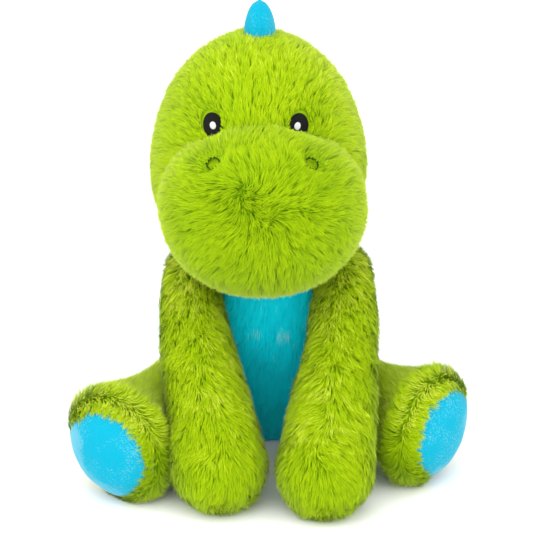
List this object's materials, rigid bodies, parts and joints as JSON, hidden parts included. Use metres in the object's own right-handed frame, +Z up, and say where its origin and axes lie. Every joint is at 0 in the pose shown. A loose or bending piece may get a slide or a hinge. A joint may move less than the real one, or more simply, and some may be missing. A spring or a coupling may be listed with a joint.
{
  "type": "stuffed dinosaur",
  "caption": "Seated plush dinosaur in long green fur with a blue belly, blue soles and soft spikes; head, arms, legs and tail turn at their sewn roots.",
  "frame": {"origin": "on the surface that the toy sits on, on its middle line, 20 mm in front of the middle of its flat seat", "axes": "+X to the toy's left, +Y from the face to the tail, +Z up"},
  "size_m": [0.257, 0.3183, 0.3],
  "materials": {
    "green_fur": "long lime-green pile, lighter at the tips",
    "blue_fur": "long cyan-blue pile",
    "smooth_blue_fabric": "short-pile plush with brushed patches",
    "eye_black": "satin-stitch embroidery",
    "eye_white": "satin-stitch embroidery",
    "dark_green_thread": "sewing thread",
    "fibre_fill": "loose polyester fibre",
    "pellet_pouch": "thin woven pouch",
    "label_fabric": "plain woven tape"
  },
  "bodies": {
    "torso": {"torso_cover": "green_fur", "belly_panel": "blue_fur", "seat_panel": "green_fur", "torso_stuffing": "fibre_fill", "bean_pouch": "pellet_pouch", "closing_seam": "dark_green_thread", "side_label": "label_fabric", "back_spike_1": "smooth_blue_fabric", "back_spike_2": "smooth_blue_fabric", "back_spike_stuffing": "fibre_fill"},
    "neck": {"neck_cover": "green_fur", "neck_stuffing": "fibre_fill"},
    "head": {"head_cover": "green_fur", "muzzle_cover": "green_fur", "head_stuffing": "fibre_fill", "left_eye": "eye_black", "right_eye": "eye_black", "left_eye_highlight": "eye_white", "right_eye_highlight": "eye_white", "left_nostril": "dark_green_thread", "right_nostril": "dark_green_thread", "head_spike_1": "smooth_blue_fabric", "head_spike_2": "smooth_blue_fabric", "head_spike_3": "smooth_blue_fabric", "head_spike_stuffing": "fibre_fill"},
    "left_arm": {"left_arm_cover": "green_fur", "left_arm_stuffing": "fibre_fill"},
    "right_arm": {"right_arm_cover": "green_fur", "right_arm_stuffing": "fibre_fill"},
    "left_leg": {"left_leg_cover": "green_fur", "left_leg_sole": "smooth_blue_fabric", "left_leg_stuffing": "fibre_fill"},
    "right_leg": {"right_leg_cover": "green_fur", "right_leg_sole": "smooth_blue_fabric", "right_leg_stuffing": "fibre_fill"},
    "tail": {"tail_cover": "green_fur", "tail_stuffing": "fibre_fill", "tail_spike_1": "smooth_blue_fabric", "tail_spike_2": "smooth_blue_fabric", "tail_spike_stuffing": "fibre_fill"}
  },
  "joints": [
    {"name": "nod", "type": "hinge", "parent": "torso", "child": "neck", "pos_m": [-0.003, 0.017, 0.127], "axis": [-1, 0, 0], "range_deg": [-3, 10]},
    {"name": "head_turn", "type": "hinge", "parent": "neck", "child": "head", "pos_m": [-0.003, 0.017, 0.147], "axis": [0, 0, 1], "range_deg": [-15, 15]},
    {"name": "left_arm_lift", "type": "hinge", "parent": "torso", "child": "left_arm", "pos_m": [0.051, -0.002, 0.118], "axis": [-0.8192, -0.5735, 0], "range_deg": [0, 25]},
    {"name": "right_arm_lift", "type": "hinge", "parent": "torso", "child": "right_arm", "pos_m": [-0.051, -0.002, 0.118], "axis": [-0.8192, 0.5735, 0], "range_deg": [0, 25]},
    {"name": "left_leg_swing", "type": "hinge", "parent": "torso", "child": "left_leg", "pos_m": [0.048, -0.004, 0.031], "axis": [0, 0, 1], "range_deg": [0, 30]},
    {"name": "right_leg_swing", "type": "hinge", "parent": "torso", "child": "right_leg", "pos_m": [-0.048, -0.004, 0.031], "axis": [0, 0, -1], "range_deg": [0, 30]},
    {"name": "tail_wag", "type": "hinge", "parent": "torso", "child": "tail", "pos_m": [0, 0.062, 0.03], "axis": [0, 0, 1], "range_deg": [-20, 20]}
  ]
}
